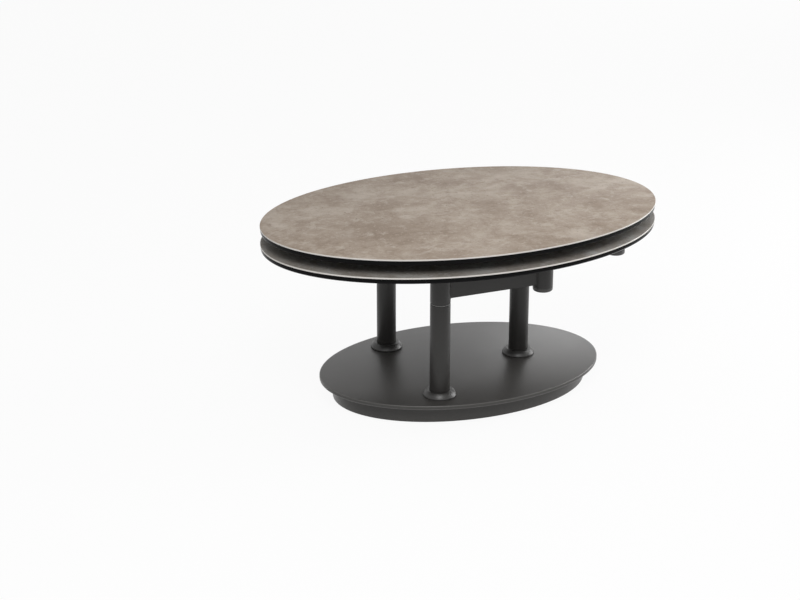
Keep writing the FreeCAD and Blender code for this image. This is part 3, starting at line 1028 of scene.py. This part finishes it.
class TABLE_OT_links(bpy.types.Operator):
    """Model the links between the tops and the screws that hold them on the risers"""
    bl_idname = "table.links"
    bl_label = "Links"

    def execute(self, context):
        for side in CRANKS:
            self.link(side)
            self.screw(side)
        return {"FINISHED"}

    def link(self, side):
        """A flat bar with round ends, waisted between them."""
        s = steel()
        node = "top_link_" + side
        low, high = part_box(node)
        near, far = middle("pivot_pin_" + side), middle("riser_shaft_" + side)
        width = high.y - low.y
        deselect_all()
        bpy.ops.mesh.primitive_circle_add(
            vertices=ROUND_STEPS, radius=width / 2, fill_type="NGON", location=(near.x, near.y, low.z))
        link = named("gap_link_" + side)
        select_parts(link, "VERT", lambda point: point.co.x > near.x + MERGE_REACH)
        bpy.ops.transform.translate(value=(far.x - near.x, 0, 0))
        bpy.ops.mesh.select_all(action="SELECT")
        bpy.ops.mesh.bisect(plane_co=((near.x + far.x) / 2, near.y, low.z), plane_no=(1, 0, 0))
        waist = s.link_waist / width
        bpy.ops.transform.resize(value=(1, waist, 1), center_override=(far.x, near.y, low.z))
        bpy.ops.mesh.select_all(action="SELECT")
        bpy.ops.mesh.extrude_region_move(TRANSFORM_OT_translate={"value": (0, 0, high.z - low.z)})
        close_shell()
        soften(link, LINK_EDGE, 3, 50)
        bore(link, near, radius_of("retaining_clip_" + side) * LINK_PIN_SHARE, low.z, high.z)
        bore(link, far, radius_of("link_screw_" + side) * LINK_SCREW_SHARE, low.z, high.z)
        finish(link, "crank_" + side, "coated_steel", [node], "powder_coat")

    def screw(self, side):
        """A low button head with a hexagon socket, and its shank."""
        node = "link_screw_" + side
        low, high = heights(node)
        seat = heights("top_link_" + side)[1]
        screw = button_screw("link_button_screw_" + side, middle(node), (low, seat, high), radius_of(node),
                             LINK_SCREW_SHAPE)
        finish(screw, "crank_" + side, "zinc_steel", [node], "zinc_plate")


def button_screw(name, centre, levels, head, shape):
    """A screw with a low domed head, a hexagon socket and its shank; levels are its foot, seat and top."""
    low, seat, high = levels
    side, shank, flat, socket = shape
    profile = [(head * shank, low), (head * shank, seat), (head, seat)]
    profile += quarter((head, seat + (high - seat) * side), (head * flat, high), True)
    screw = turned(name, profile, centre, SMALL_STEPS)
    hex_recess(screw, centre, head * socket, (high - seat) * SOCKET_DEPTH, high)
    return screw


class TABLE_OT_bearings(bpy.types.Operator):
    """Model the flanges and clamp rings of the lower top and the sockets of the upper one"""
    bl_idname = "table.bearings"
    bl_label = "Bearings"

    def execute(self, context):
        self.flanges()
        self.clamp_rings()
        self.sockets()
        return {"FINISHED"}

    def flanges(self):
        """Discs under the lower top, each with a boss below and a neck up through the top."""
        s = steel()
        centres = riser_centres()
        low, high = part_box("bearing_flanges")
        underside = heights("lower_glass")[0]
        bush = radius_of("riser_shaft_front") + BUSH_WALL
        neck = neck_radius()
        rim = high.x - centres[1].x
        plate_low = underside - s.flange_plate
        boss_edge = FLANGE_CHAMFER / 2
        profile = [(bush, low.z), (s.boss_radius - boss_edge, low.z), (s.boss_radius, low.z + boss_edge)]
        profile += [(s.boss_radius + FLANGE_FILLET - r, z) for r, z in
                    quarter((FLANGE_FILLET, plate_low - FLANGE_FILLET), (0, plate_low), True)]
        profile += [(rim - FLANGE_CHAMFER, plate_low), (rim, plate_low + FLANGE_CHAMFER), (rim, underside),
                    (neck, underside), (neck, high.z), (bush, high.z), (bush, low.z)]
        flanges = turned_set("bearing_flange_set", profile, centres)
        finish(flanges, "lower_top", "coated_steel", ["bearing_flanges"], "powder_coat")

    def clamp_rings(self):
        """Rings on the necks, on the upper side of the lower top."""
        centres = riser_centres()
        low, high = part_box("clamp_rings")
        neck = neck_radius()
        rim = high.x - centres[1].x
        profile = [(neck, low.z), (rim, low.z)]
        profile += quarter((rim, high.z - RING_ROUNDING), (rim - RING_ROUNDING, high.z), True, 4)
        profile += [(neck, high.z), (neck, low.z)]
        rings = turned_set("clamp_ring_set", profile, centres)
        finish(rings, "lower_top", "coated_steel", ["clamp_rings"], "powder_coat")

    def sockets(self):
        """Discs under the upper top, each with a boss that holds a pivot pin in a bush."""
        s = steel()
        posts = post_centres()
        low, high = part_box("upper_sockets")
        rim = high.x - posts[1].x
        bush_top = heights("socket_bushes")[1]
        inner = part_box("socket_bushes")[1].x - posts[1].x
        pocket = radius_of("pivot_pin_right")
        plate_low = high.z - s.socket_plate
        boss_edge = FLANGE_CHAMFER / 4
        profile = [(inner, low.z), (s.socket_boss - boss_edge, low.z), (s.socket_boss, low.z + boss_edge),
                   (s.socket_boss, plate_low), (rim - FLANGE_CHAMFER, plate_low),
                   (rim, plate_low + FLANGE_CHAMFER), (rim, high.z), (pocket, high.z), (pocket, bush_top),
                   (inner, bush_top), (inner, low.z)]
        sockets = turned_set("upper_socket_set", profile, posts)
        finish(sockets, "frame", "coated_steel", ["upper_sockets"], "powder_coat")


class TABLE_OT_fasteners(bpy.types.Operator):
    """Model the screws and bolts, and finish the pivots, bushes and washers"""
    bl_idname = "table.fasteners"
    bl_label = "Fasteners"

    def execute(self, context):
        posts = post_centres()
        self.spindle_screws(posts)
        self.anchor_bolts(posts)
        coat_nodes("zinc_plate", "core_screws", "anchor_washers", "foot_plugs", "pivot_spindles",
                   "stop_plates")
        coat_nodes("slide_acetal", "thrust_washers")
        coat_nodes("sintered_bronze", "flange_bushes", "socket_bushes")
        for side in CRANKS:
            coat_nodes("sintered_bronze", "hub_bushes_" + side)
            for piece in ("stop_stud", "riser_shaft", "pivot_pin", "retaining_clip"):
                coat_nodes("zinc_plate", piece + "_" + side)
        return {"FINISHED"}

    def spindle_screws(self, posts):
        """Button-head screws that hold the stop plates on the spindles."""
        low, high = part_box("spindle_screws")
        seat = heights("stop_plates")[1]
        head = high.x - posts[1].x
        screws = button_screw("spindle_button_screws", posts[0], (low.z, seat, high.z), head,
                              SPINDLE_SCREW_SHAPE)
        repeat(screws, posts)
        finish(screws, "frame", "zinc_steel", ["spindle_screws"], "zinc_plate")

    def anchor_bolts(self, posts):
        """Hexagon-head bolts up into the feet of the posts."""
        low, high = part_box("anchor_bolts")
        head = high.x - posts[1].x
        seat = heights("anchor_washers")[0]
        bolts = turned("anchor_hex_bolts", [(head, low.z), (head, seat)], posts[0], HEX_STEPS)
        soften(bolts, BOLT_EDGE, 2)
        shank = head * BOLT_SHANK
        shank_piece = turned("anchor_shank", [(shank, seat), (shank, high.z)], posts[0], SMALL_STEPS)
        pick(bolts)
        shank_piece.select_set(True)
        bpy.ops.object.join()
        repeat(bolts, posts)
        finish(bolts, "frame", "zinc_steel", ["anchor_bolts"], "zinc_plate")


# Stage

class TABLE_OT_stage(bpy.types.Operator):
    """Set the floor, the lamps, the room light and the camera"""
    bl_idname = "table.stage"
    bl_label = "Stage"

    def execute(self, context):
        s = context.scene.table_stage
        context.scene.view_settings.view_transform = "Standard"
        self.floor(s)
        self.room(s)
        for name, place, size, power in LAMPS:
            soft_lamp(name, place, size, getattr(s, power))
        self.camera(s)
        return {"FINISHED"}

    def floor(self, s):
        """A wide pale floor that keeps the table's shadow and looks near white to the camera."""
        deselect_all()
        bpy.ops.mesh.primitive_plane_add(size=FLOOR_SIZE, location=(0, 0, -FLOOR_GAP))
        floor = named("studio_floor")
        f = Finish("studio_floor")
        speck = f.noise(30.0, 3.0)
        specked = f.blend(f.ramp(speck, (0.4, 0.0), (0.7, 0.25)), s.floor_colour, (0.8, 0.8, 0.8))
        f.link(specked, "Base Color")
        f.set(roughness=0.7)
        glow = f.nodes.new("ShaderNodeEmission")
        glow.inputs["Color"].default_value = (1, 1, 1, 1)
        seen = f.nodes.new("ShaderNodeMath")
        seen.operation = "MULTIPLY"
        seen.inputs[1].default_value = s.floor_glow
        f.links.new(background_seen(f.nodes, f.links), seen.inputs[0])
        mix = f.nodes.new("ShaderNodeMixShader")
        f.links.new(seen.outputs[0], mix.inputs[0])
        f.links.new(f.shader.outputs[0], mix.inputs[1])
        f.links.new(glow.outputs[0], mix.inputs[2])
        f.links.new(mix.outputs[0], f.nodes["Material Output"].inputs["Surface"])
        floor.data.materials.append(f.material)

    def room(self, s):
        """Even light from all round, which the camera and mirrors see as white."""
        world = bpy.data.worlds.new("studio_room")
        bpy.context.scene.world = world
        world.use_nodes = True
        nodes, links = world.node_tree.nodes, world.node_tree.links
        strength = nodes.new("ShaderNodeMapRange")
        strength.inputs["To Min"].default_value = s.world_light
        strength.inputs["To Max"].default_value = 1.0
        links.new(background_seen(nodes, links), strength.inputs["Value"])
        nodes["Background"].inputs["Color"].default_value = (1, 1, 1, 1)
        links.new(strength.outputs["Result"], nodes["Background"].inputs["Strength"])

    def camera(self, s):
        """A camera at the photograph's viewing angle."""
        tilt, turn = s.elevation, s.azimuth
        back = Vector((math.sin(turn) * math.cos(tilt), -math.cos(turn) * math.cos(tilt), math.sin(tilt)))
        right = Vector((math.cos(turn), math.sin(turn), 0))
        up = back.cross(right)
        aim = right * s.aim_right + Vector((0, 0, s.aim_height))
        deselect_all()
        bpy.ops.object.camera_add(location=aim + back * s.distance)
        camera = bpy.context.active_object
        camera.name = "photo_camera"
        camera.rotation_euler = Matrix((right, up, back)).transposed().to_euler()
        camera.data.lens = s.lens
        bpy.context.scene.camera = camera


def soft_lamp(name, place, size, power):
    """A square softbox at a place, turned towards the table."""
    deselect_all()
    bpy.ops.object.light_add(type="AREA", location=place)
    lamp = bpy.context.active_object
    lamp.name = name
    lamp.data.size = size
    lamp.data.energy = power
    lamp.rotation_euler = (LAMP_AIM - Vector(place)).to_track_quat("-Z", "Y").to_euler()


OPERATORS = (TABLE_OT_stone_faces, TABLE_OT_glass_backs, TABLE_OT_base, TABLE_OT_posts, TABLE_OT_cranks,
             TABLE_OT_links, TABLE_OT_bearings, TABLE_OT_fasteners, TABLE_OT_stage)
SETTINGS = {"table_tops": TopSettings, "table_steel": SteelSettings, "table_stage": StageSettings}


class TABLE_PT_pieces(bpy.types.Panel):
    """The table's settings and the operators that make its pieces"""
    bl_idname = "TABLE_PT_pieces"
    bl_label = "Extending coffee table"
    bl_space_type = "VIEW_3D"
    bl_region_type = "UI"
    bl_category = "Table"

    def draw(self, context):
        for owner, settings in SETTINGS.items():
            box = self.layout.box()
            for name in settings.__annotations__:
                box.prop(getattr(context.scene, owner), name)
        for operator in OPERATORS:
            self.layout.operator(operator.bl_idname)


def register():
    """Register the classes and hang the settings on the scene."""
    for cls in (*SETTINGS.values(), *OPERATORS, TABLE_PT_pieces):
        bpy.utils.register_class(cls)
    for owner, settings in SETTINGS.items():
        setattr(bpy.types.Scene, owner, bpy.props.PointerProperty(type=settings))


def unregister():
    """Undo register."""
    for owner in SETTINGS:
        delattr(bpy.types.Scene, owner)
    for cls in (TABLE_PT_pieces, *reversed(OPERATORS), *reversed(SETTINGS.values())):
        bpy.utils.unregister_class(cls)


def main():
    """Make every piece and the stage."""
    register()
    for operator in OPERATORS:
        group, name = operator.bl_idname.split(".")
        getattr(getattr(bpy.ops, group), name)()
    deselect_all()


if __name__ == "__main__":
    main()
